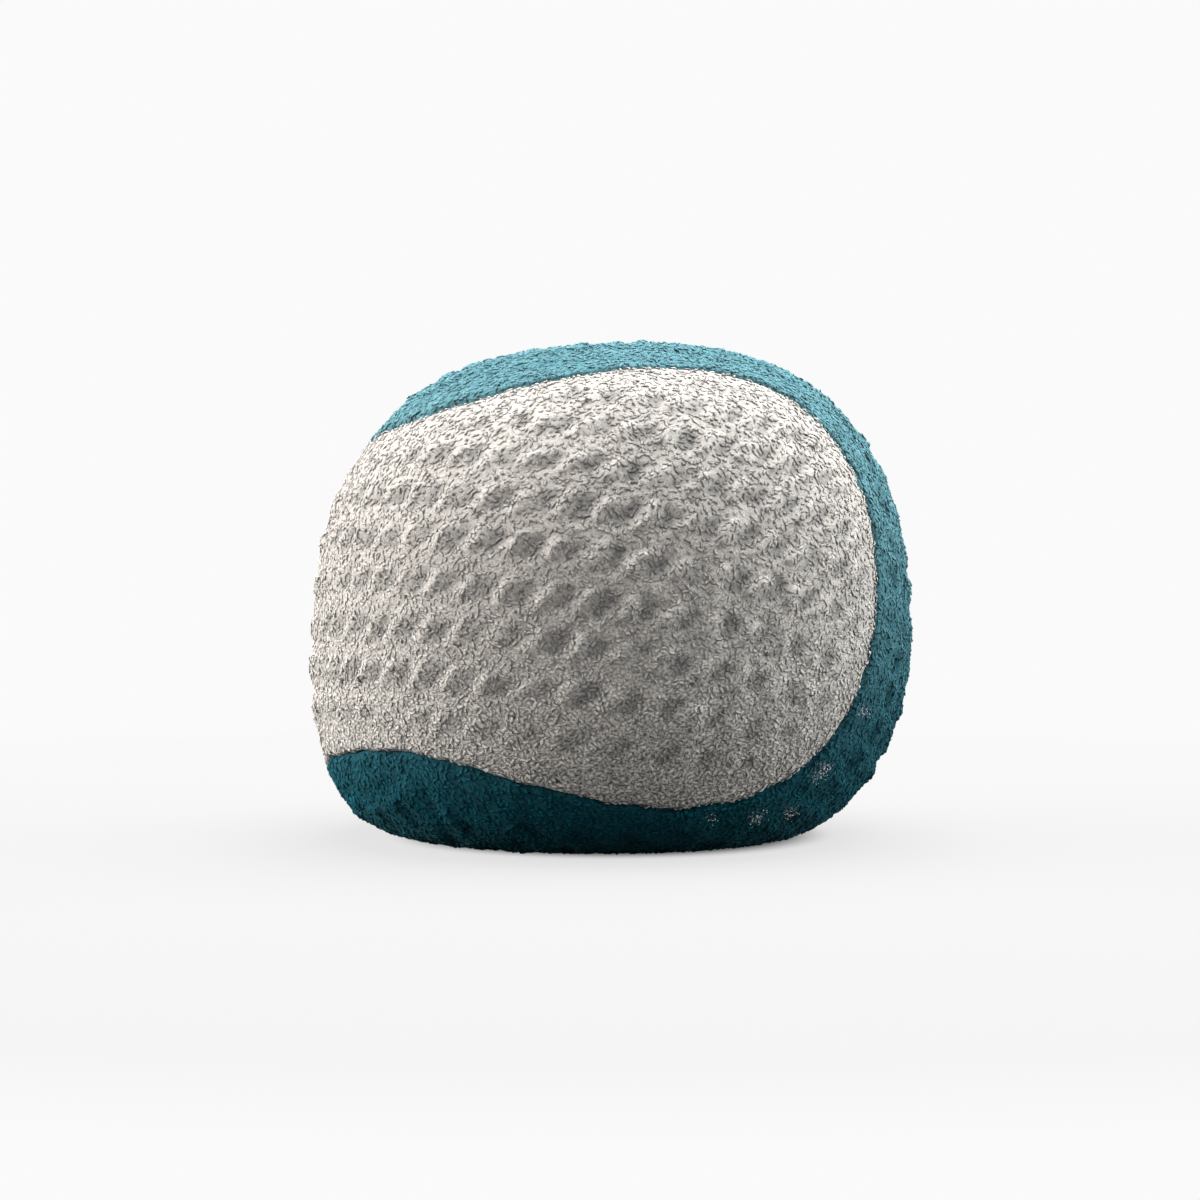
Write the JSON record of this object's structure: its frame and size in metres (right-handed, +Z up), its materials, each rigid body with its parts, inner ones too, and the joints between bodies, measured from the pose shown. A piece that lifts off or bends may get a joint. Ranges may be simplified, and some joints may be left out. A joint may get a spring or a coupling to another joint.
{
  "type": "grip ball",
  "caption": "Soft sewn microfibre ball with an inner pouch of drying powder, resting on a flattened base; squeezed to dry the hands.",
  "frame": {"origin": "on the surface that the ball rests on, in the middle of the ball's extent to the sides and to the front and back", "axes": "+Z up, square to the flattened base; -Y towards the front, where one lobe of the grey panel shows whole; +X to the right as seen from the front"},
  "size_m": [0.076, 0.078, 0.0624],
  "materials": {
    "grey_microfibre": "waffle terry microfibre, matt and tufted",
    "teal_microfibre": "waffle terry microfibre, matt and tufted",
    "grey_thread": "spun polyester sewing thread",
    "teal_thread": "spun polyester sewing thread",
    "pouch_cloth": "thin close-woven cotton that holds the powder",
    "white_thread": "spun polyester sewing thread",
    "powder": "loose fine white drying powder"
  },
  "bodies": {
    "root": {"cover_panel_grey": "grey_microfibre", "cover_panel_teal": "teal_microfibre", "cover_needle_thread": "grey_thread", "cover_bobbin_thread": "teal_thread", "cover_closing_thread": "teal_thread", "pouch_panel_grey_side": "pouch_cloth", "pouch_panel_teal_side": "pouch_cloth", "pouch_thread": "white_thread", "drying_powder": "powder"}
  },
  "joints": []
}
